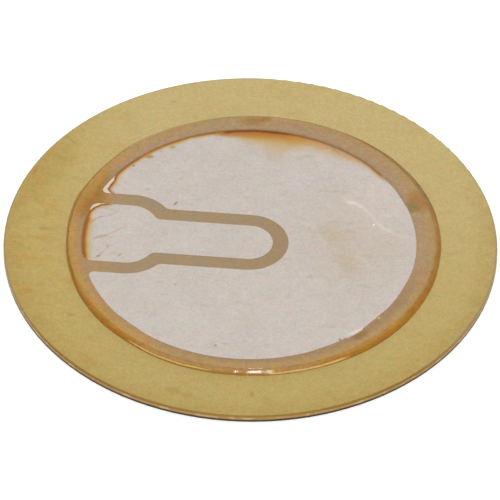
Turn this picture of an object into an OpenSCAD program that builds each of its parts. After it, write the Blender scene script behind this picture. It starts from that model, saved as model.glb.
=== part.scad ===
// Three-terminal piezo diaphragm: a silvered ceramic disc bonded to a stamped brass plate.
// The origin is the centre of the plate's underside, +Z is up through the ceramic, and the
// feedback electrode's finger points along +X, away from its solder pad at the -X rim.

/* [Brass plate] */
// Diameter of the plate
plate_d = 27; // [25:0.5:34]
// Thickness of the plate
plate_t = 0.4; // [0.3:0.05:0.6]
// Radius that the blanking die rolls onto the plate's top edge
roll_r = 0.1; // [0.04:0.01:0.15]
// Height of the torn zone at the foot of the blanked edge
tear_h = 0.07; // [0.02:0.01:0.12]
// Depth that the torn zone tapers in below the burnished land
tear_w = 0.03; // [0.01:0.01:0.06]

/* [Ceramic disc] */
// Diameter of the ceramic
ceramic_d = 20; // [19:0.1:22]
// Thickness of the ceramic
ceramic_t = 0.22; // [0.12:0.01:0.3]
// Bonding offset of the ceramic from the plate's centre, along X
ceramic_x = 0.08; // [-0.2:0.01:0.2]
// Bonding offset of the ceramic from the plate's centre, along Y
ceramic_y = -0.08; // [-0.2:0.01:0.2]

/* [Adhesive] */
// Thickness of the bond line under the ceramic
film_t = 0.02; // [0.01:0.005:0.04]
// Mean width of the squeezed-out bead on the brass, outside the ceramic
bead_w = 0.28; // [0.22:0.01:0.5]
// Offset of the bead from the ceramic's centre, along X, where the squeeze-out is wider
bead_x = 0.08; // [-0.1:0.01:0.1]
// Offset of the bead from the ceramic's centre, along Y
bead_y = 0.02; // [-0.1:0.01:0.1]
// Angle at which the bead's face meets the brass
contact_angle = 25; // [15:1:40]
// Radius of the bead's hollow face
hollow_r = 0.36; // [0.3:0.01:0.6]
// Bare ceramic left between the lip on the margin and the top silver, where they come closest
lip_gap = 0.18; // [0.05:0.01:0.3]
// Height that the bead's crest stands over the ceramic's top face
lip_t = 0.03; // [0.02:0.005:0.05]
// Radius of the bead's rounded crest
crest_r = 0.05; // [0.03:0.005:0.08]

/* [Electrodes] */
// Thickness of the printed and fired silver
silver_t = 0.015; // [0.01:0.005:0.03]
// Bare margin between the top silver and the ceramic's edge, if the two were concentric
print_margin = 0.9; // [0.75:0.05:1.3]
// Print offset of the top silver from the ceramic's centre, along X
print_x = -0.13; // [-0.25:0.01:0.25]
// Print offset of the top silver from the ceramic's centre, along Y
print_y = -0.23; // [-0.25:0.01:0.25]
// Bare margin between the rear silver and the ceramic's edge
rear_margin = 0.25; // [0.1:0.05:0.6]

/* [Feedback electrode] */
// Width of the bare slot between the two top electrodes
slot_w = 0.86; // [0.5:0.02:1]
// Width of the finger
finger_w = 2.65; // [2:0.05:3]
// Distance from the print's centre to the centre of the finger's round tip, towards +X
tip_x = -0.03; // [-1:0.01:1]
// Width of the solder pad at the rim
pad_w = 4.57; // [4:0.01:6]
// Length of the pad, from the print's edge to its inner end
pad_l = 3.98; // [3.5:0.01:5]
// Radius of the pad's two shoulders
shoulder_r = 1.53; // [1.2:0.01:1.7]
// Radius of the fillet in the neck, where each shoulder meets the finger
neck_r = 0.45; // [0.1:0.05:0.5]
// Radius of the pad's corners, where the slot opens at the print's edge
pad_corner_r = 0.45; // [0.05:0.01:0.6]
// Radius of the main electrode's corners, across the slot from the pad's
main_corner_r = 0.28; // [0.05:0.01:0.4]

/* [Hidden] */
$fn = 180;
// Overlap that carries a cutting tool past the face it cuts
over = 1;

// Levels of the stack, each resting on the one before
rear_z = plate_t + film_t;
ceramic_z = rear_z + silver_t;
top_z = ceramic_z + ceramic_t;

// Centre of the top silver, in the plate's frame
silver_x = ceramic_x + print_x;
silver_y = ceramic_y + print_y;
print_r = ceramic_d / 2 - print_margin;

// The bead's section: its foot on the brass and the centre of its hollow face
foot_r = ceramic_d / 2 + bead_w;
hollow_x = foot_r + hollow_r * sin(contact_angle);
hollow_z = hollow_r * cos(contact_angle);
crest_h = top_z - plate_t + lip_t;
// The crest's circle touches the hollow face from inside, so the two arcs run on smoothly
crest_z = crest_h - crest_r;
crest_x = hollow_x - sqrt(pow(hollow_r + crest_r, 2) - pow(hollow_z - crest_z, 2));
// The point where they touch
touch_x = hollow_x + (crest_x - hollow_x) * hollow_r / (hollow_r + crest_r);
touch_z = hollow_z + (crest_z - hollow_z) * hollow_r / (hollow_r + crest_r);
// The lip's inner edge, clear of the silver on the side where the two offsets bring them close
lip_x = print_r + norm([print_x, print_y]) + norm([bead_x, bead_y]) + lip_gap;

// Centre of each shoulder arc, measured from the print's centre
shoulder_x = -print_r + pad_l - shoulder_r;
shoulder_y = pad_w / 2 - shoulder_r;

// ---- Brass plate ----

// Half section of the blanked plate: flat faces, rolled top edge, burnished land, torn foot
module plate_section() {
    land_top = plate_t - roll_r;
    square([plate_d / 2 - roll_r, plate_t]);
    translate([0, tear_h]) square([plate_d / 2, land_top - tear_h]);
    translate([plate_d / 2 - roll_r, land_top]) circle(r = roll_r);
    polygon([[0, 0], [plate_d / 2 - tear_w, 0], [plate_d / 2, tear_h], [0, tear_h]]);
}

module brass_plate() {
    color([0.76, 0.66, 0.43]) rotate_extrude() plate_section();
}

// ---- Adhesive ----

// Half section of the bond: film, hollow-faced bead, round crest and lip on the margin
module bond_section() {
    // Bond line, up to the ceramic's underside, where the rear silver takes its place
    square([ceramic_d / 2, film_t + silver_t]);
    // Bead, with its hollow face cut back
    difference() {
        polygon([[lip_x, 0], [foot_r, 0], [touch_x, touch_z], [crest_x, crest_z],
                 [crest_x, crest_h], [lip_x, top_z - plate_t]]);
        translate([hollow_x, hollow_z]) circle(r = hollow_r);
    }
    translate([crest_x, crest_z]) circle(r = crest_r);
}

// Space that the ceramic and its rear silver fill
module ceramic_pocket() {
    translate([ceramic_x, ceramic_y, rear_z])
        cylinder(d = ceramic_d - 2 * rear_margin, h = silver_t);
    translate([ceramic_x, ceramic_y, ceramic_z]) cylinder(d = ceramic_d, h = ceramic_t);
}

module adhesive() {
    color([0.66, 0.45, 0.17]) difference() {
        translate([ceramic_x + bead_x, ceramic_y + bead_y, plate_t])
            rotate_extrude() bond_section();
        ceramic_pocket();
    }
}

// ---- Ceramic and its rear silver ----

module rear_electrode() {
    color([0.75, 0.73, 0.70]) translate([ceramic_x, ceramic_y, rear_z])
        cylinder(d = ceramic_d - 2 * rear_margin, h = silver_t);
}

module ceramic_disc() {
    color([0.68, 0.56, 0.44]) translate([ceramic_x, ceramic_y, ceramic_z])
        cylinder(d = ceramic_d, h = ceramic_t);
}

// ---- Top silver ----

// Fillet in the neck on the +Y side: it touches the finger's edge and the shoulder's arc,
// each grown by the same amount
module neck_fillet(grow) {
    edge_y = finger_w / 2 + grow;
    arc_r = shoulder_r + grow;
    centre_y = edge_y + neck_r;
    centre_x = shoulder_x + sqrt(pow(arc_r + neck_r, 2) - pow(centre_y - shoulder_y, 2));
    meet_x = shoulder_x + sqrt(pow(arc_r, 2) - pow(edge_y - shoulder_y, 2));
    arc_share = arc_r / (arc_r + neck_r);
    difference() {
        polygon([[centre_x, centre_y],
                 [shoulder_x + (centre_x - shoulder_x) * arc_share,
                  shoulder_y + (centre_y - shoulder_y) * arc_share],
                 [meet_x - neck_r / 2, edge_y - neck_r / 2],
                 [centre_x, edge_y - neck_r / 2]]);
        translate([centre_x, centre_y]) circle(r = neck_r);
    }
}

// Outline of the pad and finger, grown on all sides. It runs out past the print's edge.
// With no growth it is the feedback electrode's own outline, and grown by the slot's
// width it is the hole in the main electrode.
module tongue(grow) {
    finger_r = finger_w / 2 + grow;
    pad_y = pad_w / 2 + grow;
    // Finger with its round tip
    translate([shoulder_x, -finger_r]) square([tip_x - shoulder_x, 2 * finger_r]);
    translate([tip_x, 0]) circle(r = finger_r);
    // Pad, straight from the rim to its shoulders
    translate([-print_r - over, -pad_y]) square([shoulder_x + print_r + over, 2 * pad_y]);
    for (side = [0, 1]) mirror([0, side]) {
        translate([shoulder_x, shoulder_y]) circle(r = shoulder_r + grow);
        neck_fillet(grow);
    }
}

// What rounds the corner between the print's edge and the line y = edge_y, on the -X side.
// The silver lies above the line for side = 1, and below it for side = -1.
module mouth_corner(edge_y, side, corner_r) {
    centre_y = edge_y + side * corner_r;
    centre_x = -sqrt(pow(print_r - corner_r, 2) - pow(centre_y, 2));
    rim = (print_r + over) / (print_r - corner_r);
    difference() {
        polygon([[centre_x, centre_y], [centre_x, edge_y], [-print_r - over, edge_y],
                 [centre_x * rim, centre_y * rim]]);
        translate([centre_x, centre_y]) circle(r = corner_r);
    }
}

module main_outline() {
    difference() {
        circle(r = print_r);
        tongue(slot_w);
        for (flip = [0, 1]) mirror([0, flip])
            mouth_corner(pad_w / 2 + slot_w, 1, main_corner_r);
    }
}

module feedback_outline() {
    difference() {
        intersection() {
            circle(r = print_r);
            tongue(0);
        }
        for (flip = [0, 1]) mirror([0, flip]) mouth_corner(pad_w / 2, -1, pad_corner_r);
    }
}

module main_electrode() {
    color([0.80, 0.76, 0.73]) translate([silver_x, silver_y, top_z])
        linear_extrude(silver_t) main_outline();
}

module feedback_electrode() {
    color([0.80, 0.76, 0.73]) translate([silver_x, silver_y, top_z])
        linear_extrude(silver_t) feedback_outline();
}

brass_plate();
adhesive();
rear_electrode();
ceramic_disc();
main_electrode();
feedback_electrode();
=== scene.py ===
"""Looks of a three-terminal piezo diaphragm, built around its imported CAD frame.

The frame is in metres, +Z up, with its origin under the middle of the brass plate and the
feedback electrode's finger along +X. Lengths in the code are millimetres, and MM turns them
into metres. Angles round the disc are in degrees, anticlockwise from +X. The camera looks
from -Y, so the disc's right is at 0, its back at 90, its left at 180 and its front at 270.
"""
import math

import bpy
from mathutils import Matrix, Vector, noise


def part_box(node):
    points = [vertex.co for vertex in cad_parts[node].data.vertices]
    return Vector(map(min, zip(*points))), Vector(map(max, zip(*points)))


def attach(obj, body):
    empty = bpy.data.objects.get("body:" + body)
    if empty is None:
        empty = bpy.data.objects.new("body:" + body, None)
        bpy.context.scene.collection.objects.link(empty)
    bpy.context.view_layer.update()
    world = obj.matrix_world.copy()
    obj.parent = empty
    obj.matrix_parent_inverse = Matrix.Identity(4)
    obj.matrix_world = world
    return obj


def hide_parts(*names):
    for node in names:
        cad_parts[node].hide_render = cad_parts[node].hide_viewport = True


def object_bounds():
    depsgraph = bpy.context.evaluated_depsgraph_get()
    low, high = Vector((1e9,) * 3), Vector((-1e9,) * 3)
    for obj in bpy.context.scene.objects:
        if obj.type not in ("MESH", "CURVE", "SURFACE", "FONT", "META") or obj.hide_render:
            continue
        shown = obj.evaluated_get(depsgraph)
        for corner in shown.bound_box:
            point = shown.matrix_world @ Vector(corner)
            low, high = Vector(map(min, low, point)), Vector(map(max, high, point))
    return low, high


MM = 0.001

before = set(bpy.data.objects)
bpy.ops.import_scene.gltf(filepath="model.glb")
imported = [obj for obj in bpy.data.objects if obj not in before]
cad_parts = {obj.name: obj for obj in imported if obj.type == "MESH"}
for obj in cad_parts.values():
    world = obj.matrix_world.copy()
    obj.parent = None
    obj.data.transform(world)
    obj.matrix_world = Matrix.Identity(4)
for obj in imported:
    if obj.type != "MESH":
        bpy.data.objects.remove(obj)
cad_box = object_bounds()

# ---- Sizes read from the frame ----


def box_mm(node):
    """Lowest and highest corner of a CAD node, in millimetres."""
    low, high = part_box(node)
    return low / MM, high / MM


plate_low, plate_high = box_mm("brass_plate")
rear_low, rear_high = box_mm("rear_electrode")
ceramic_low, ceramic_high = box_mm("ceramic_disc")
main_low, main_high = box_mm("main_electrode")

PLATE_R = (plate_high.x - plate_low.x) / 2
PLATE_TOP = plate_high.z
CERAMIC = (ceramic_low + ceramic_high) / 2
CERAMIC_R = (ceramic_high.x - ceramic_low.x) / 2
CERAMIC_TOP = ceramic_high.z
REAR_R = rear_high.x - CERAMIC.x
REAR_TOP = rear_high.z
REAR_BOTTOM = rear_low.z
SILVER_R = (main_high.y - main_low.y) / 2
SILVER_X = main_high.x - SILVER_R
SILVER_Y = (main_low.y + main_high.y) / 2

# ---- Marks ----

# Flecks, specks, hair lines and smears on the silver: place, length, width, direction,
# strength and colour
SILVER_MARKS = [
    # Dark and brown flecks
    (-6.98, 5.19, 0.16, 0.10, 40, 0.8, (120, 105, 92)),
    (-4.36, 2.38, 0.32, 0.12, 60, 0.7, (140, 108, 88)),
    (-6.19, 6.02, 0.45, 0.28, 10, 0.8, (172, 138, 66)),
    (-5.00, 6.92, 0.35, 0.24, 30, 0.7, (170, 150, 95)),
    (-1.10, -8.50, 0.16, 0.14, 0, 0.6, (150, 112, 96)),
    (-0.58, -8.32, 0.40, 0.09, 0, 0.4, (165, 135, 118)),
    (5.54, -7.42, 0.24, 0.16, 130, 0.8, (130, 118, 100)),
    (-5.98, 3.33, 0.16, 0.14, 0, 0.4, (170, 150, 125)),
    (-4.25, 4.40, 0.18, 0.14, 0, 0.3, (170, 155, 135)),
    (-4.55, -3.89, 0.35, 0.14, 10, 0.35, (170, 158, 145)),
    (-3.72, -4.02, 0.16, 0.12, 0, 0.5, (160, 148, 138)),
    # Specks and hair lines on the pad
    (-6.97, -2.01, 0.34, 0.14, 60, 0.5, (170, 140, 115)),
    (-7.70, -1.40, 0.40, 0.12, 80, 0.45, (176, 150, 128)),
    (-8.14, -2.22, 0.26, 0.16, 30, 0.6, (160, 125, 85)),
    (-8.00, -2.00, 0.80, 0.12, 60, 0.4, (176, 150, 120)),
    (-8.17, -0.68, 0.90, 0.20, 25, 0.55, (186, 148, 98)),
    (-7.40, -0.15, 1.30, 0.14, 40, 0.30, (184, 160, 130)),
    (-8.66, 0.62, 0.50, 0.08, 55, 0.5, (150, 122, 90)),
    (-8.35, 0.90, 0.40, 0.08, 20, 0.5, (150, 122, 90)),
    (-7.75, 1.18, 0.90, 0.08, 38, 0.3, (165, 145, 120)),
    # Burnished wisps, bright dots and two dark fibres on the +X side
    (5.28, 3.42, 0.65, 0.28, -10, 0.8, (232, 218, 208)),
    (5.75, 3.20, 0.60, 0.24, -25, 0.6, (228, 214, 204)),
    (4.85, 3.70, 0.60, 0.10, -35, 0.3, (218, 206, 197)),
    (6.10, 2.88, 0.80, 0.20, -48, 0.5, (226, 214, 204)),
    (6.50, 2.38, 0.90, 0.22, -55, 0.3, (222, 212, 202)),
    (6.95, 1.75, 0.80, 0.22, -45, 0.6, (226, 216, 205)),
    (7.45, 1.42, 0.50, 0.34, -10, 0.5, (222, 214, 202)),
    (7.95, 1.08, 0.90, 0.18, -25, 0.4, (224, 213, 203)),
    (8.45, 0.88, 0.40, 0.10, -15, 0.3, (218, 207, 197)),
    (6.61, 1.77, 0.11, 0.11, 0, 1.0, (252, 248, 240)),
    (3.59, -2.33, 0.10, 0.10, 0, 0.5, (226, 220, 212)),
    (3.86, -2.96, 0.12, 0.12, 0, 0.5, (224, 218, 210)),
    (6.55, -1.40, 1.10, 0.20, -58, 0.3, (214, 204, 197)),
    (7.20, -2.50, 1.10, 0.22, -50, 0.35, (216, 206, 200)),
    (7.50, 0.46, 0.30, 0.06, -70, 0.5, (172, 158, 146)),
    (7.62, 0.28, 0.25, 0.06, -40, 0.4, (176, 162, 150)),
    # A cream patch against the edge at the front right
    (6.38, -6.68, 1.20, 0.30, 38, 0.75, (232, 220, 204)),
    # Tongues inside the halo at the back: two pale, one dark, and one broad and tan
    (3.36, 7.48, 0.80, 0.14, 12, 0.5, (214, 190, 160)),
    (2.45, 7.63, 0.50, 0.20, 10, 0.4, (206, 190, 165)),
    (3.95, 7.62, 0.90, 0.14, -42, 0.35, (160, 132, 78)),
    (0.76, 7.30, 1.90, 1.30, 84, 0.28, (202, 172, 118)),
]

# Stains and a pale fleck in the film on the margin, in the same terms
FILM_MARKS = [
    (-0.06, 9.76, 0.60, 0.50, 0, 0.65, (150, 112, 40)),
    (-0.79, 9.50, 1.25, 0.70, 5, 0.65, (156, 114, 44)),
    (8.90, 3.92, 1.55, 1.10, 114, 0.85, (166, 117, 52)),
    (8.60, 3.38, 0.80, 0.80, 120, 0.85, (142, 118, 66)),
    (6.59, -6.94, 0.90, 0.42, 43, 0.80, (142, 112, 48)),
    (7.46, -5.52, 0.16, 0.10, 0, 0.8, (226, 208, 170)),
]

# Tarnish spots, a hair line and a scratch on the brass, in the same terms
BRASS_MARKS = [
    (-11.70, 5.00, 5.50, 2.20, 68, 0.30, (176, 144, 72)),
    (-11.84, -5.12, 0.90, 0.50, 30, 0.33, (180, 140, 70)),
    (-7.78, -10.03, 1.20, 0.50, -38, 0.33, (182, 140, 70)),
    (-9.14, -6.64, 0.40, 0.25, 0, 0.33, (160, 135, 80)),
    (-3.00, -11.90, 0.70, 0.50, 0, 0.33, (168, 134, 78)),
    (-2.20, -12.20, 0.60, 0.50, 0, 0.33, (166, 134, 80)),
    (-11.40, -0.05, 0.50, 0.30, 0, 0.39, (165, 130, 68)),
    (1.17, -11.74, 0.20, 0.45, 0, 0.39, (150, 125, 75)),
    (-11.72, 6.03, 0.70, 0.40, 60, 0.33, (196, 146, 74)),
    (-11.93, 3.72, 0.90, 0.60, 80, 0.33, (196, 148, 76)),
    (-11.84, 2.19, 0.80, 0.60, 80, 0.26, (186, 144, 74)),
    (-10.70, 7.24, 0.90, 0.10, -42, 0.39, (150, 122, 66)),
    (-12.37, 4.60, 0.80, 0.20, 70, 0.33, (162, 126, 66)),
    (-5.35, 10.97, 0.30, 0.20, 0, 0.33, (172, 136, 66)),
    (-9.74, 5.24, 1.85, 0.11, 15, 0.26, (216, 198, 146)),
    (-9.90, 4.20, 1.20, 0.10, 35, 0.2, (214, 196, 144)),
]

# ---- Camera, floor and light ----

# Half the floor's side, and how far the floor lies above the plate's underside, so that no
# two faces are in one plane
FLOOR_HALF = 1500
FLOOR_RISE = 0.002


def direction(azimuth, elevation):
    """Unit vector towards a place seen from the origin. Azimuth 0 is -Y and 90 is +X."""
    a, e = math.radians(azimuth), math.radians(elevation)
    return Vector((math.sin(a) * math.cos(e), -math.cos(a) * math.cos(e), math.sin(e)))


def add_camera():
    """The camera, a long lens about a foot away that looks down at the plate."""
    azimuth, elevation, roll = 4.95, 43.45, math.radians(0.59)
    distance, sensor, lens, nearest = 324, 36, 427.3, 10
    aim = Vector((0.03, -0.63, PLATE_TOP))
    back = direction(azimuth, elevation)
    right = direction(azimuth + 90, 0)
    up = back.cross(right)
    level = Matrix((right, up, back)).transposed()
    turned = level @ Matrix.Rotation(roll, 3, "Z")
    camera = bpy.data.objects.new("camera", bpy.data.cameras.new("camera"))
    camera.data.sensor_width = sensor
    camera.data.lens = lens
    camera.data.clip_start = nearest * MM
    camera.matrix_world = Matrix.Translation((aim + back * distance) * MM) @ turned.to_4x4()
    bpy.context.scene.collection.objects.link(camera)
    bpy.context.scene.camera = camera


def add_area_light(name, azimuth, elevation, distance, width, height, power):
    """An oblong soft light that faces the disc, in metres and watts."""
    lamp = bpy.data.lights.new(name, "AREA")
    lamp.shape = "RECTANGLE"
    lamp.size = width
    lamp.size_y = height
    lamp.energy = power
    light = bpy.data.objects.new(name, lamp)
    away = direction(azimuth, elevation)
    light.location = away * distance
    light.rotation_mode = "QUATERNION"
    light.rotation_quaternion = away.to_track_quat("Z", "Y")
    bpy.context.scene.collection.objects.link(light)


def add_world(front, back):
    """White surroundings, which dim evenly from the far side (+Y) to the camera's side."""
    world = bpy.data.worlds.new("studio")
    world.use_nodes = True
    tree = world.node_tree
    shader = tree.nodes["Background"]
    shader.inputs["Color"].default_value = (1, 1, 1, 1)
    coordinates = tree.nodes.new("ShaderNodeTexCoord")
    split = tree.nodes.new("ShaderNodeSeparateXYZ")
    tree.links.new(coordinates.outputs["Generated"], split.inputs[0])
    far_side = smooth(Field(tree, split.outputs["Y"]), -1, 1)
    feed(shader.inputs["Strength"], far_side * (back - front) + front)
    bpy.context.scene.world = world


def add_floor(material):
    """The square floor that the disc lies on."""
    half = FLOOR_HALF * MM
    mesh = bpy.data.meshes.new("floor")
    mesh.from_pydata([(-half, -half, 0), (half, -half, 0), (half, half, 0), (-half, half, 0)],
                     [], [(0, 1, 2, 3)])
    mesh.materials.append(material)
    floor = bpy.data.objects.new("floor", mesh)
    floor.location.z = cad_box[0].z + FLOOR_RISE * MM
    bpy.context.scene.collection.objects.link(floor)


# ---- Node arithmetic ----


def linear(red, green, blue):
    """A colour's linear parts, from its 8-bit sRGB ones."""
    parts = [c / 255 for c in (red, green, blue)]
    return tuple(c / 12.92 if c < 0.04045 else ((c + 0.055) / 1.055) ** 2.4 for c in parts)


class Field:
    """A number, vector or colour that varies over a surface. Arithmetic adds its nodes."""

    def __init__(self, tree, socket):
        self.tree = tree
        self.socket = socket

    def __add__(self, other):
        return calculate("ADD", self, other)

    def __sub__(self, other):
        return calculate("SUBTRACT", self, other)

    def __rsub__(self, other):
        return calculate("SUBTRACT", other, self)

    def __mul__(self, other):
        return calculate("MULTIPLY", self, other)

    def __truediv__(self, other):
        return calculate("DIVIDE", self, other)


def tree_of(*values):
    """The node tree of the first field among the values."""
    return next(v.tree for v in values if isinstance(v, Field))


def feed(socket, value):
    """Gives a socket its value, which is a field, a number or a tuple."""
    if isinstance(value, Field):
        value.tree.links.new(value.socket, socket)
    elif isinstance(value, tuple) and len(value) < len(socket.default_value):
        # A colour's socket takes its opacity too
        socket.default_value = (*value, 1)
    else:
        socket.default_value = value


def wire(node, *values):
    """Feeds the values to a node's first inputs, and returns its first output."""
    for socket, value in zip(node.inputs, values):
        feed(socket, value)
    return Field(node.id_data, node.outputs[0])


def calculate(operation, *values):
    """What a math node makes of the values."""
    node = tree_of(*values).nodes.new("ShaderNodeMath")
    node.operation = operation
    return wire(node, *values)


def calculate_vector(operation, *values):
    """What a vector math node makes of the values, which are vectors, colours or numbers."""
    node = tree_of(*values).nodes.new("ShaderNodeVectorMath")
    node.operation = operation
    return wire(node, *values)


def either(first, second):
    """The larger of two shares."""
    return calculate("MAXIMUM", first, second)


def smooth(value, start, end):
    """0 at start and 1 at end, easing in and out. start may be the larger."""
    node = value.tree.nodes.new("ShaderNodeMapRange")
    node.interpolation_type = "SMOOTHSTEP"
    low, high, low_out, high_out = (start, end, 0, 1) if start < end else (end, start, 1, 0)
    return wire(node, value, low, high, low_out, high_out)


def hill(value, middle, half_width):
    """1 where value is middle, easing down to 0 at half_width to either side."""
    return smooth(calculate("ABSOLUTE", value - middle), half_width, 0)


def mix(share, under, over):
    """The colour under where share is 0, and the colour over where it is 1."""
    node = tree_of(share, under, over).nodes.new("ShaderNodeMix")
    node.data_type = "RGBA"
    # The node has sockets of each type in turn: 6 and 7 are its colours, and 2 their mixture
    feed(node.inputs[0], share)
    feed(node.inputs[6], under)
    feed(node.inputs[7], over)
    return Field(node.id_data, node.outputs[2])


def ramp(value, *stops):
    """The colour at value, eased between stops, each a position from 0 to 1 and a colour."""
    node = value.tree.nodes.new("ShaderNodeValToRGB")
    node.color_ramp.interpolation = "EASE"
    elements = node.color_ramp.elements
    while len(elements) < len(stops):
        elements.new(0.5)
    for element, (position, colour) in zip(elements, stops):
        element.position = position
        element.color = (*linear(*colour), 1)
    return wire(node, value)


def group(name, inputs, build):
    """A node group with number inputs, whose one output is what build makes of them."""
    tree = bpy.data.node_groups.new(name, "ShaderNodeTree")
    for title in inputs:
        tree.interface.new_socket(title, in_out="INPUT", socket_type="NodeSocketFloat")
    tree.interface.new_socket("Share", in_out="OUTPUT", socket_type="NodeSocketFloat")
    start = tree.nodes.new("NodeGroupInput")
    end = tree.nodes.new("NodeGroupOutput")
    feed(end.inputs[0], build(*(Field(tree, start.outputs[title]) for title in inputs)))
    return tree


def from_group(template, *values):
    """What a node group makes of the values."""
    node = tree_of(*values).nodes.new("ShaderNodeGroup")
    node.node_tree = template
    return wire(node, *values)


def in_ellipse(along_x, along_y, across_x, across_y, dx, dy, soft):
    """1 in an ellipse and 0 outside it. Each axis is a unit vector over its half length."""
    along = dx * along_x + dy * along_y
    across = dx * across_x + dy * across_y
    beyond = calculate("SQRT", along * along + across * across) - 1
    return smooth(beyond / soft, 1, -1)


def in_sector(x, y, axis_x, axis_y, least, span):
    """1 where the direction from a middle is close to an axis, by the cosine between them."""
    # The least distance keeps the division sound at the middle itself
    away = calculate("MAXIMUM", calculate("SQRT", x * x + y * y), 0.01)
    cosine = (x * axis_x + y * axis_y) / away
    return smooth((cosine - least) / span, 0, 1)


# Both are groups, because over a hundred copies of their nodes would be slow to make
ELLIPSE = group("ellipse", ("Along X", "Along Y", "Across X", "Across Y", "X", "Y", "Soft"),
                in_ellipse)
SECTOR = group("sector", ("X", "Y", "Axis X", "Axis Y", "Least", "Span"), in_sector)


# A distance in millimetres beyond every size of the disc
FAR = 99


class Place:
    """The point that a material shades, in millimetres in the frame, and measures of it."""

    def __init__(self, tree):
        coordinates = tree.nodes.new("ShaderNodeTexCoord")
        metres = Field(tree, coordinates.outputs["Object"])
        self.point = calculate_vector("MULTIPLY", metres, (1 / MM,) * 3)
        split = tree.nodes.new("ShaderNodeSeparateXYZ")
        feed(split.inputs[0], self.point)
        self.x, self.y, self.z = (Field(tree, part) for part in split.outputs)
        self.silver_x, self.silver_y = self.x - SILVER_X, self.y - SILVER_Y

    def distance(self, x, y):
        """Distance in plan from a point."""
        dx, dy = self.x - x, self.y - y
        return calculate("SQRT", dx * dx + dy * dy)

    def inside_print(self):
        """Distance in plan from the silver's round edge, positive on the silver."""
        return SILVER_R - self.distance(SILVER_X, SILVER_Y)

    def inside_ceramic(self):
        """Distance in plan from the ceramic's edge, positive on the ceramic."""
        return CERAMIC_R - self.distance(CERAMIC.x, CERAMIC.y)

    def inside_corner(self, x, y, radius, up):
        """Distance in plan inside a rounded corner, left of and above (or below) its middle.

        On the corner's other side, and about 1 mm to its right, it is FAR more, so that the
        corner cuts nothing off there.
        """
        beyond = (self.y - y) * (1 if up else -1)
        left = calculate("MAXIMUM", x - self.x, 0)
        over = calculate("MAXIMUM", beyond, 0)
        inside = radius - calculate("SQRT", left * left + over * over)
        other_side = smooth(beyond, 0.0, -0.10)
        to_the_right = smooth(self.x, x + 0.9, x + 1.1)
        return inside + either(other_side, to_the_right) * FAR

    def sector(self, middle, half_width, fade):
        """1 within half_width of an angle round the silver's middle, 0 past a further fade."""
        angle = math.radians(middle)
        least = math.cos(math.radians(half_width + fade))
        span = math.cos(math.radians(half_width)) - least
        return from_group(SECTOR, self.silver_x, self.silver_y,
                          math.cos(angle), math.sin(angle), least, span)

    def blob(self, x, y, length, width, turn=0.0, soft=0.5):
        """1 inside an ellipse of those two diameters, turned by an angle, 0 outside it.

        soft is how far its edge fades to either side, as a share of its radius.
        """
        angle = math.radians(turn)
        along = (math.cos(angle) * 2 / length, math.sin(angle) * 2 / length)
        across = (-math.sin(angle) * 2 / width, math.cos(angle) * 2 / width)
        return from_group(ELLIPSE, *along, *across, self.x - x, self.y - y, soft)


def blotches(place, output, size, detail, shift, stretch=(1, 1, 1)):
    """An output of a noise texture with blotches of that size in millimetres.

    More detail adds finer ones to them, and stretch draws them out along each axis.
    """
    spot = calculate_vector("MULTIPLY_ADD", place.point, tuple(1 / s for s in stretch), shift)
    node = spot.tree.nodes.new("ShaderNodeTexNoise")
    feed(node.inputs["Vector"], spot)
    node.inputs["Scale"].default_value = 1 / size
    node.inputs["Detail"].default_value = detail
    return Field(spot.tree, node.outputs[output])


def grain(place, size, detail, seed, stretch=(1, 1, 1)):
    """Noise from 0 to 1, about 0.5 on average, with blotches of that size in millimetres."""
    shift = (seed * 7.3, seed * -3.1, seed)
    return blotches(place, "Fac", size, detail, shift, stretch)


def mottled(colour, place, size, amount, seed):
    """The colour, with each of its parts varied by up to amount in blotches of that size."""
    parts = blotches(place, "Color", size, 2, (seed * 5.7, seed * 9.1, seed))
    share = calculate_vector("MULTIPLY_ADD", parts, (2 * amount,) * 3, (1 - amount,) * 3)
    return calculate_vector("MULTIPLY", colour, share)


def speckled(colour, place, size, amount, seed):
    """The colour, lightened and darkened by up to amount in blotches of that size."""
    share = grain(place, size, 1, seed) * (2 * amount) + (1 - amount)
    return calculate_vector("MULTIPLY", colour, share)


def marked(colour, place, marks):
    """The colour with marks in it: place, length, width, direction, strength and colour."""
    for x, y, length, width, turn, share, tone in marks:
        colour = mix(place.blob(x, y, length, width, turn) * share, colour, linear(*tone))
    return colour


def bump(shader, height, depth):
    """Raises the surface by height, a field from 0 to about 1, times depth in millimetres."""
    node = height.tree.nodes.new("ShaderNodeBump")
    node.inputs["Distance"].default_value = depth * MM
    feed(node.inputs["Height"], height)
    height.tree.links.new(node.outputs[0], shader.inputs["Normal"])


def new_material(name):
    """A material and its principled shader."""
    material = bpy.data.materials.new(name)
    material.use_nodes = True
    return material, material.node_tree.nodes["Principled BSDF"]


# ---- Brass ----


def at_back(place):
    """0 at the plate's middle, rising to 1 towards its back."""
    return smooth(place.y, 2, 9)


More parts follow.
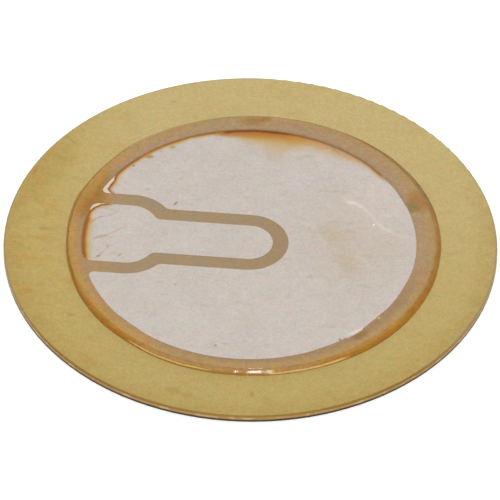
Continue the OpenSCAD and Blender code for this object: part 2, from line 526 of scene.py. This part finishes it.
def sheet_tone(place, rolled):
    """The plate's faces: satin sheet with its rolling marks and handling tarnish, painted
    lighter towards the back.
    """
    left = smooth(place.x, -6, -13)
    # Painted light: the sheet is painted lighter towards the back and darker towards the front
    colour = mix(smooth(place.y, -12, 12), linear(189, 168, 106), linear(200, 180, 125))
    colour = mix(left * 0.6, colour, linear(191, 166, 95))
    # Tarnish, orange and olive, and orange most of all on the left
    orange = smooth(grain(place, 1.0, 3, seed=1, stretch=(2, 1, 1)), 0.48, 0.72)
    olive = smooth(grain(place, 0.8, 3, seed=2, stretch=(2, 1, 1)), 0.50, 0.72)
    colour = mix(orange * (left * 0.40 + 0.14), colour, linear(196, 154, 80))
    colour = mix(olive * (left * 0.14 + 0.14), colour, linear(166, 152, 82))
    # More of it towards the edge, but not at the back
    near_edge = smooth(place.distance(0, 0), PLATE_R - 1.6, PLATE_R - 0.2)
    handled = near_edge * grain(place, 0.8, 2, seed=14) * (1 - at_back(place))
    colour = mix(handled * 0.6, colour, linear(170, 138, 72))
    colour = marked(colour, place, BRASS_MARKS)
    # Rolling marks, paler than the sheet
    colour = mix(smooth(rolled, 0.5, 0.8) * 0.10, colour, linear(205, 188, 140))
    colour = mottled(colour, place, 0.35, 0.11, seed=2)
    colour = mottled(colour, place, 0.10, 0.10, seed=3)
    return speckled(colour, place, 0.12, 0.15, seed=21)


def blanked_tone(colour, place, rim):
    """The colour, with a die roll, a burnished land and a torn foot in it where rim is 1."""
    # Painted shade and reflection: the die roll is painted dark at the front, and painted light
    # at the sides and the back as a painted reflection of the bright surroundings
    sides = smooth(place.x, -9, -13) + smooth(place.x, 9, 13)
    painted_reflection = either(at_back(place), sides)
    colour = mix(rim * 0.6, colour, mix(painted_reflection, linear(162, 122, 54), linear(190, 172, 138)))
    # The land below it is burnished, in brown streaks and paler ones
    streaks = smooth(grain(place, 0.5, 2, seed=31), 0.5, 0.7)
    land = smooth(place.z, PLATE_TOP - 0.05, PLATE_TOP - 0.11)
    colour = mix(rim * land, colour, mix(streaks, linear(190, 156, 106), linear(212, 182, 140)))
    # The torn foot is dark, down to the underside: a rough fracture, with painted shade where
    # the rim meets the floor
    torn_and_shaded = smooth(place.z, 0.22, 0.13)
    return mix(rim * torn_and_shaded, colour, linear(92, 80, 64))


def brass_material():
    """Rolled and blanked brass sheet."""
    material, shader = new_material("brass")
    place = Place(material.node_tree)
    rim = smooth(place.distance(0, 0), PLATE_R - 0.14, PLATE_R - 0.07)
    # Rolling marks run along the sheet
    rolled = grain(place, 0.22, 2, seed=3, stretch=(9, 1, 1))
    fine = grain(place, 0.12, 2, seed=4)
    feed(shader.inputs["Base Color"], blanked_tone(sheet_tone(place, rolled), place, rim))
    shader.inputs["Metallic"].default_value = 1
    feed(shader.inputs["Roughness"], fine * 0.14 + rim * 0.25 + 0.40)
    bump(shader, fine + rolled * 0.2, 0.0015)
    return material


# ---- Ceramic ----


def ceramic_tone(place):
    """Bare fired ceramic: tan, mottled orange and olive, with its own fine grain."""
    warm = smooth(grain(place, 0.8, 3, seed=5), 0.38, 0.62)
    colour = mix(warm, linear(159, 137, 103), linear(165, 136, 96))
    # Browner round the finger's tip, and more orange in the slot's mouths
    tip = place.blob(1.2, -0.3, 3.0, 4.6, 0, 0.8)
    mouths = smooth(place.x, -6.0, -8.6)
    colour = mix(tip * 0.6, colour, linear(161, 130, 90))
    colour = mix(mouths * 0.75, colour, linear(176, 137, 90))
    colour = mottled(colour, place, 0.3, 0.15, seed=6)
    colour = mottled(colour, place, 0.1, 0.16, seed=7)
    return speckled(colour, place, 0.11, 0.15, seed=22)


def ceramic_material():
    """Fired and ground ceramic, matte."""
    material, shader = new_material("ceramic")
    place = Place(material.node_tree)
    fine = grain(place, 0.09, 2, seed=7)
    feed(shader.inputs["Base Color"], ceramic_tone(place))
    feed(shader.inputs["Roughness"], fine * 0.15 + 0.5)
    bump(shader, fine, 0.002)
    return material


# ---- Silver ----

# Stretches of the silver's edge, each an angle, a half width and the length of its fade:
# where the stain is deepest, where it is faint, and the end of the pad
DEEPEST = (94, 9, 7)
FAINT = (58, 8, 12)
PAD_END = (184, 9, 4)

# Rounded ends of the stain at the slot's upper mouth: middle and radius
MAIN_CORNER = (-7.84, 3.18, 0.31)
PAD_CORNER = (-7.97, 0.90, 1.06)


def print_tone(place):
    """The silver print: pinkish grey, with faint smears and the brushed fibres of its paint."""
    colour = mix(grain(place, 2.5, 3, seed=9), linear(202, 191, 181), linear(212, 202, 194))
    # Resin smears, faint and tan, on the +X side, and a lighter patch behind them
    smears = either(place.blob(4.6, 0.6, 1.8, 1.1, 135, 0.7),
                    place.blob(5.5, -1.5, 2.0, 1.1, 120, 0.7))
    colour = mix(smears * 0.45, colour, linear(198, 174, 134))
    colour = mix(place.blob(5.6, 0.5, 4.5, 6.5, 10, 0.8) * 0.40, colour, linear(198, 183, 160))
    colour = mix(place.blob(6.8, 3.6, 3.6, 5.0, 0, 0.8) * 0.35, colour, linear(222, 208, 200))
    # Fibres, lighter and darker
    fibres = grain(place, 0.35, 2, seed=23, stretch=(2.5, 1, 1))
    colour = mix(smooth(fibres, 0.55, 0.8) * 0.25, colour, linear(226, 213, 205))
    colour = mix(smooth(fibres, 0.42, 0.25) * 0.25, colour, linear(180, 164, 148))
    colour = mottled(colour, place, 0.5, 0.07, seed=5)
    colour = mottled(colour, place, 0.12, 0.08, seed=6)
    return speckled(colour, place, 0.12, 0.14, seed=24)


def stained(place):
    """1 round the stretch of the silver's edge that the adhesive stained, 0 along the slot."""
    along_slot = smooth(place.x, -8.2, -7.6) * smooth(place.y, 3.4, 3.0)
    return place.sector(118, 74, 8) * (1 - along_slot)


def stain_depth(place):
    """Distance in plan inside the line that the adhesive left where it crept on the silver.

    The line wanders along the printed edge, stands off it above the slot's upper mouth, and
    cuts across the two corners there.
    """
    wander = (grain(place, 0.5, 2, seed=8) - 0.5) * 0.16
    edge = place.inside_print() + wander * 0.6 - place.sector(158, 3, 7) * 0.23
    main_corner = place.inside_corner(*MAIN_CORNER, up=False) + wander
    pad_corner = place.inside_corner(*PAD_CORNER, up=True) + wander * 0.6
    above_slot = smooth(place.y, 2.3, 2.6)
    corners = pad_corner * (1 - above_slot) + main_corner * above_slot
    return calculate("MINIMUM", edge, corners)


def with_halo(colour, place, inner):
    """The colour, with the amber halo that soaked in behind the line, widest at the back."""
    reach = (place.sector(79, 11, 20) * 0.9 + place.sector(86, 3, 12) * 0.7
             + place.sector(*PAD_END) * 0.30 + 0.36)
    soaked = inner / (reach * (grain(place, 0.7, 3, seed=10) * 0.6 + 0.7))
    halo = ramp(soaked, (0.0, (178, 106, 22)), (0.14, (194, 140, 50)), (0.32, (200, 157, 78)),
                (0.55, (204, 174, 120)), (1.0, (206, 188, 160)))
    deep = place.sector(*DEEPEST) * smooth(inner, 0.9, 0.2)
    halo = mix(deep * 0.75, halo, linear(176, 108, 6))
    halo = mottled(halo, place, 0.25, 0.12, seed=28)
    share = smooth(soaked, 1.1, 0.3) * (1 - place.sector(*FAINT) * 0.25)
    return mix(share * stained(place) * 0.95, colour, halo)


def with_line(colour, place, inner):
    """The colour, with the dark line at which the adhesive stopped."""
    deepest, pad_end = place.sector(*DEEPEST), place.sector(*PAD_END)
    width = deepest * 0.12 + pad_end * 0.14 + 0.15
    weak = place.sector(*FAINT) * 0.10 + place.sector(125, 8, 6) * 0.2
    strength = deepest * 0.40 + pad_end * 0.20 + 0.56 - weak
    unbroken = 1 - place.blob(-2.5, 8.45, 0.5, 0.5) * 0.8
    line = smooth(inner / width, 1.0, 0.25) * strength * unbroken * stained(place)
    return mix(line, colour, mix(pad_end, linear(134, 62, 0), linear(148, 80, 8)))


def silver_material():
    """Fired silver paint, matte, and browned where the adhesive crept over it."""
    material, shader = new_material("silver")
    place = Place(material.node_tree)
    inner = stain_depth(place)
    colour = with_halo(print_tone(place), place, inner)
    colour = with_line(colour, place, inner)
    # Outside the line the two corners stay clean
    ragged = (grain(place, 0.25, 2, seed=26) - 0.5) * 0.12
    colour = mix(smooth(inner + ragged, -0.01, -0.07), colour, linear(222, 208, 194))
    colour = marked(colour, place, SILVER_MARKS)
    fibre = grain(place, 0.16, 2, seed=11)
    feed(shader.inputs["Base Color"], colour)
    shader.inputs["Metallic"].default_value = 0.25
    shader.inputs["Specular IOR Level"].default_value = 0.2
    feed(shader.inputs["Roughness"], fibre * 0.15 + 0.5)
    bump(shader, fibre, 0.003)
    return material


# ---- Resin ----

# The pool of adhesive in the slot's upper mouth: an angle, a half width and a fade
POOL = (161, 7, 8)

# The name of the mesh attribute that says how far down the bead's face a point lies: it is 0
# on the film, rises from 0 at the crest and is 1 at the foot
DEPTH = "depth"


def film_tone(place, left):
    """The film over the margin: more amber beside the bead, and most of all on the left.

    At the front it is painted darker beside the silver and more orange near the bead: painted
    shade.
    """
    # Painted shade: the front sector darkens the film beside the silver and blotches it more
    # orange
    front = place.sector(250, 85, 25)
    inward = place.inside_ceramic()
    near_silver = mix(front, linear(175, 143, 105), linear(161, 129, 91))
    near_silver = mix(left, near_silver, linear(175, 137, 92))
    near_bead = mix(front, linear(177, 143, 92), linear(179, 143, 90))
    near_bead = mix(left, near_bead, linear(187, 144, 73))
    colour = mix(smooth(inward, 1.1, 0.8), ceramic_tone(place), near_silver)
    colour = mix(smooth(inward, 0.7, 0.1), colour, near_bead)
    orange = smooth(grain(place, 0.6, 2, seed=15), 0.45, 0.7) * smooth(inward, 0.5, 0.1)
    return mix(orange * front * 0.5, colour, linear(184, 134, 62))


def with_silver_edge(colour, place):
    """The colour, with the lines along the silver's edge and the silver that spread past it."""
    inside = place.inside_print()
    stain = hill(inside, 0.0, 0.15) * place.sector(117, 74, 2) * (1 - place.sector(*POOL))
    colour = mix(stain * 0.7, colour, linear(134, 80, 30))
    right = hill(inside, 0.0, 0.12) * place.sector(-24, 28, 10)
    colour = mix(right * 0.45, colour, linear(186, 130, 76))
    spread = place.sector(7, 15, 5) * 0.04 + place.sector(-46, 3, 1) * 0.05
    on_silver = smooth(inside + spread, -0.01, 0.01) * smooth(spread, 0.01, 0.03)
    return mix(on_silver, colour, linear(200, 187, 176))


def margin_tone(place):
    """The film on the margin, with its pool, its stains and its crest."""
    inward = place.inside_ceramic()
    left = place.sector(208, 26, 14)
    colour = film_tone(place, left)
    pool = place.sector(*POOL) * smooth(place.x, -7.7, -8.7)
    pool_tone = mix(smooth(inward, 0.6, 0.1), linear(163, 114, 30), linear(176, 125, 36))
    colour = mix(pool * 0.9, colour, pool_tone)
    # Painted shade: the crest is darker, but not at the front
    crest_painted_shade = smooth(inward, 0.18, -0.02) * (1 - place.sector(268, 30, 16))
    colour = mix(crest_painted_shade * 0.6, colour, mix(left, linear(176, 138, 80), linear(182, 133, 50)))
    # The outer half of the margin is amber at the back left
    amber = place.sector(150, 8, 8) * smooth(inward, 0.65, 0.5)
    colour = mix(amber * 0.5, colour, linear(188, 142, 74))
    colour = marked(colour, place, FILM_MARKS)
    return with_silver_edge(colour, place)


def front_tone(colour, place, depth):
    """The colour, paler at the front, with golden skirts on the foot: painted highlights where
    light from the brass glows through the thin resin.
    """
    pale = place.sector(268, 20, 16) * (1 - smooth(depth, 0.35, 0.8) * 0.75)
    colour = mix(pale * 0.9, colour, linear(186, 147, 90))
    # Painted highlights: golden skirts low on the face
    left_painted_highlight = place.sector(249, 11, 5) * hill(depth, 0.70, 0.16)
    right_painted_highlight = place.sector(294, 9, 6) * hill(depth, 0.76, 0.22)
    return mix(either(left_painted_highlight, right_painted_highlight), colour, linear(226, 190, 120))


def bead_tone(place, depth):
    """The bead's face: amber where much squeezed out, and browner where little did, with
    painted shade round the back.
    """
    rich = ramp(depth, (0.0, (198, 148, 72)), (0.25, (191, 138, 54)), (0.55, (174, 119, 34)),
                (1.0, (160, 105, 28)))
    plain = ramp(depth, (0.0, (180, 152, 98)), (0.35, (183, 156, 102)),
                 (0.8, (184, 158, 104)), (1.0, (186, 160, 106)))
    thin = ramp(depth, (0.0, (186, 136, 62)), (0.4, (178, 126, 44)), (0.9, (172, 120, 42)),
                (1.0, (180, 130, 56)))
    dark = ramp(depth, (0.0, (182, 138, 74)), (0.3, (172, 119, 34)), (0.8, (161, 108, 22)),
                (1.0, (176, 124, 36)))
    back_painted_shade = ramp(depth, (0.0, (168, 134, 82)), (0.4, (148, 108, 34)), (1.0, (138, 98, 20)))
    # Rich at the front, thin on the left, dark on the right, and painted shade, browner, round
    # the back
    face = mix(place.sector(275, 80, 20), plain, rich)
    face = mix(place.sector(172, 26, 12), face, thin)
    face = mix(place.sector(2, 24, 14), face, dark)
    # Painted shade at the back
    face = mix(place.sector(80, 22, 10) * 0.9, face, linear(160, 126, 66))
    face = mix(place.sector(42, 12, 16), face, back_painted_shade)
    # A darker patch under the crest at the back left
    shadow = place.sector(156, 14, 10) * smooth(depth, 0.9, 0.3)
    face = mix(shadow * 0.6, face, linear(156, 114, 44))
    return front_tone(face, place, depth)


def resin_material():
    """Cured amber adhesive: a tint where it is a film on the margin, and deep in its bead."""
    material, shader = new_material("resin")
    place = Place(material.node_tree)
    attribute = material.node_tree.nodes.new("ShaderNodeAttribute")
    attribute.attribute_name = DEPTH
    depth = Field(material.node_tree, attribute.outputs["Fac"])
    colour = mix(smooth(depth, 0.0, 0.25), margin_tone(place), bead_tone(place, depth))
    colour = mottled(colour, place, 0.5, 0.16, seed=12)
    colour = mottled(colour, place, 0.16, 0.14, seed=16)
    colour = speckled(colour, place, 0.12, 0.20, seed=25)
    colour = speckled(colour, place, 0.3, 0.12, seed=27)
    feed(shader.inputs["Base Color"], colour)
    shader.inputs["Roughness"].default_value = 0.12
    shader.inputs["IOR"].default_value = 1.5
    shader.inputs["Specular IOR Level"].default_value = 0.25
    bump(shader, grain(place, 0.5, 1, seed=12), 0.0015)
    return material


# ---- Floor ----


def floor_material():
    """Plain white floor, a little brighter than it is lit."""
    material, shader = new_material("floor")
    shader.inputs["Base Color"].default_value = (0.92, 0.92, 0.92, 1)
    shader.inputs["Roughness"].default_value = 0.9
    shader.inputs["Emission Color"].default_value = (1, 1, 1, 1)
    shader.inputs["Emission Strength"].default_value = 0.36
    return material


# ---- Adhesive ----

# How finely the adhesive is cut up: round the disc, down the bead's face and over the film
SECTIONS = 1080
FACE_STEPS = 20
FILM_STEPS = 24

# The bead's usual outer radius, the slopes of its face at its foot and under its crest, and
# the length of the curve's handles there as a share of the bead's width plus its height
FOOT_R = CERAMIC_R + 0.36
FOOT_SLOPE = math.radians(30)
CREST_SLOPE = math.radians(56)
FACE_HANDLE = 1 / 4.2

# Where the foot stands in or out of its usual radius: angle, half width and how far
FOOT_SWELLS = [(152, 11, -0.10), (190, 22, -0.19), (228, 17, -0.09), (277, 24, -0.05),
               (322, 14, 0.02), (5, 12, -0.02), (36, 26, 0.05)]

# The crest: how far outside the ceramic its outer end stands, how far above the ceramic its
# top usually is, the size of its rounding, and the rounding's three points. Each point lies
# in from the outer end and down from the top by its two shares of that size.
CREST_OUT = 0.02
CREST_RISE = 0.018
CREST_ROUND = 0.022
CREST_POINTS = [(0, 0.4), (0.55, 0.08), (1.2, 0)]

# Where the film laps over the silver's edge: angle, half width and how far
FILM_LAPS = [(322, 6, 0.05), (333, 14, 0.03), (309, 1.6, 0.06), (301, 5, 0.03),
             (231, 6, 0.05)]

# The film's end: its thickness in the slot's upper mouth, how much thicker it is elsewhere,
# and how much more again where it laps over the silver by FULL_LAP
MOUTH_T = 0.0005
END_RISE = 0.010
LAP_RISE = 0.008
FULL_LAP = 0.03

# How far the end is tucked into the silver's edge where it laps over by less than LEAST_LAP
TUCK = 0.05
LEAST_LAP = 0.01

# Where the film runs on into the slot's upper mouth: an angle, a half width and how far
MOUTH_ANGLE = 163
MOUTH_HALF = 5
MOUTH_RUN = 1.0

# About how far the foot, the face, the crest's height and the film's lap ripple
FOOT_RIPPLE = 0.02
FACE_RIPPLE = 0.05
CREST_RIPPLE = 0.005
LAP_RIPPLE = 0.015


def swelling(angle, swells):
    """The sum at an angle of swells, each an angle, a half width and an amount."""
    total = 0
    for middle, half_width, amount in swells:
        away = abs((angle - middle + 180) % 360 - 180)
        total += amount * math.exp(-(away / half_width) ** 4)
    return total


def ripple(angle, waves, seed):
    """Noise from -1 to 1 that closes round the disc. More waves make it finer."""
    a = math.radians(angle)
    return noise.noise(Vector((waves * math.cos(a), waves * math.sin(a), seed)))


def bead_foot(angle):
    """Radius of the bead's outer edge on the brass, round the ceramic's middle."""
    return FOOT_R + swelling(angle, FOOT_SWELLS) + FOOT_RIPPLE * ripple(angle, 6, seed=0)


def film_lap(angle):
    """How far the film laps over the silver's round edge, which leaves that edge uneven."""
    waves = noise.noise(Vector((0.3 * angle, 0, 9)))
    return LAP_RIPPLE * waves + swelling(angle, FILM_LAPS)


def film_end(angle):
    """Radius at which the film ends, round the ceramic's middle, and its thickness there.

    It laps over the silver's round edge, or else ends tucked into it, lower than the silver,
    and it runs on into the slot's upper mouth.
    """
    a = math.radians(angle)
    dx, dy = SILVER_X - CERAMIC.x, SILVER_Y - CERAMIC.y
    to_silver = dx * math.cos(a) + dy * math.sin(a) + SILVER_R
    in_mouth = math.exp(-((angle - MOUTH_ANGLE) / MOUTH_HALF) ** 2)
    lap = max(film_lap(angle), 0)
    tuck = TUCK if lap < LEAST_LAP else 0
    lapped = min(lap / FULL_LAP, 1)
    thickness = (END_RISE + LAP_RISE * lapped) * (1 - in_mouth) + MOUTH_T
    return to_silver - lap - tuck - MOUTH_RUN * in_mouth, thickness


def crest_rounding(crest_top):
    """The three points of the crest's rounding, from its outer end: radius and height."""
    outside = CERAMIC_R + CREST_OUT
    return [(outside - CREST_ROUND * inwards, crest_top - CREST_ROUND * down)
            for inwards, down in CREST_POINTS]


def upslope(slope):
    """Unit vector inwards and up a slope, as radius and height."""
    return Vector((-math.cos(slope), math.sin(slope)))


def bead_face(foot, end, span, bulge):
    """The bead's face, from its foot to its end: radius, height and depth of each point.

    It is slightly hollow, steep at its end and shallower at the foot, and swells by bulge.
    span is the bead's width plus its height.
    """
    start, end = Vector((foot, PLATE_TOP)), Vector(end)
    start_pull = start + span * FACE_HANDLE * upslope(FOOT_SLOPE)
    end_pull = end - span * FACE_HANDLE * upslope(CREST_SLOPE)
    face = []
    for step in range(FACE_STEPS + 1):
        t = step / FACE_STEPS
        s = 1 - t
        point = (start * s**3 + start_pull * 3 * s * s * t
                 + end_pull * 3 * s * t * t + end * t**3)
        face.append((point.x + bulge * 4 * s * t, point.y, s))
    return face


def film(start, rise, end, thickness):
    """The film's upper side, which falls from its rise at start to its thickness at end.

    Its points are radius, height and depth, as the face's are.
    """
    side = []
    for step in range(1, FILM_STEPS + 1):
        t = step / FILM_STEPS
        height = CERAMIC_TOP + thickness + (rise - thickness) * (1 - t)**3
        side.append((start + (end - start) * t, height, 0))
    return side


def adhesive_section(angle):
    """The adhesive's outline at an angle: radius, height and depth of each point.

    It runs up the bead's face, over its crest, along the film and back under it, and down
    past the ceramic and the rear silver to the bond.
    """
    foot = bead_foot(angle)
    rise = CREST_RISE + CREST_RIPPLE * ripple(angle, 9, seed=4)
    bulge = FACE_RIPPLE * ripple(angle, 15, seed=2)
    crest_top = CERAMIC_TOP + rise
    outer, shoulder, inner = crest_rounding(crest_top)
    span = foot - CERAMIC_R + crest_top - PLATE_TOP
    end, thickness = film_end(angle)
    section = bead_face(foot, outer, span, bulge)
    section += [(*shoulder, 0), (*inner, 0)]
    section += film(inner[0], rise, end, thickness)
    section += [(end, CERAMIC_TOP, 0), (CERAMIC_R, CERAMIC_TOP, 0), (CERAMIC_R, REAR_TOP, 0),
                (REAR_R, REAR_TOP, 0), (REAR_R, REAR_BOTTOM, 0)]
    return section


def ring_faces(count):
    """Faces between each section of count points and the next, all the way round."""
    faces = []
    for section in range(SECTIONS):
        here, there = section * count, (section + 1) % SECTIONS * count
        faces += [(here + k, there + k, there + k + 1, here + k + 1) for k in range(count - 1)]
    return faces


def bond_faces(count):
    """The bond's upper and lower faces, from the sections to their two middle points."""
    above = SECTIONS * count
    below = above + 1
    faces = []
    for section in range(SECTIONS):
        here, there = section * count, (section + 1) % SECTIONS * count
        faces.append((here + count - 1, there + count - 1, above))
        faces.append((there, here, below))
    return faces


def add_adhesive(name, material):
    """The cured adhesive: bond under the ceramic, bead round it and thin film on its margin."""
    points, depths = [], []
    for step in range(SECTIONS):
        angle = 360 * step / SECTIONS
        a = math.radians(angle)
        section = adhesive_section(angle)
        for radius, height, depth in section:
            points.append((CERAMIC.x + radius * math.cos(a), CERAMIC.y + radius * math.sin(a),
                           height))
            depths.append(depth)
    # The middle points of the bond, above and below
    points += [(CERAMIC.x, CERAMIC.y, REAR_BOTTOM), (CERAMIC.x, CERAMIC.y, PLATE_TOP)]
    depths += [0, 0]
    faces = ring_faces(len(section)) + bond_faces(len(section))
    mesh = bpy.data.meshes.new(name)
    mesh.from_pydata([(x * MM, y * MM, z * MM) for x, y, z in points], [], faces)
    mesh.attributes.new(DEPTH, "FLOAT", "POINT").data.foreach_set("value", depths)
    mesh.materials.append(material)
    mesh.shade_smooth()
    piece = bpy.data.objects.new(name, mesh)
    bpy.context.scene.collection.objects.link(piece)
    return piece


# ---- The scene ----


def dress(name, material):
    """Gives a CAD node its material."""
    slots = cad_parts[name].data.materials
    slots.clear()
    slots.append(material)


bpy.context.scene.view_settings.view_transform = "Standard"
add_camera()
add_world(front=0.2, back=0.9)
add_area_light("softbox", azimuth=184, elevation=62, distance=0.6, width=0.5, height=0.4,
               power=0.3)
add_area_light("lamp", azimuth=7.5, elevation=50, distance=0.6, width=0.065, height=0.20,
               power=1.6)
add_floor(floor_material())

dress("brass_plate", brass_material())
dress("ceramic_disc", ceramic_material())
silver = silver_material()
for electrode in ("rear_electrode", "main_electrode", "feedback_electrode"):
    dress(electrode, silver)

bead = add_adhesive("adhesive_bead", resin_material())
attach(bead, "root")
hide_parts("adhesive")
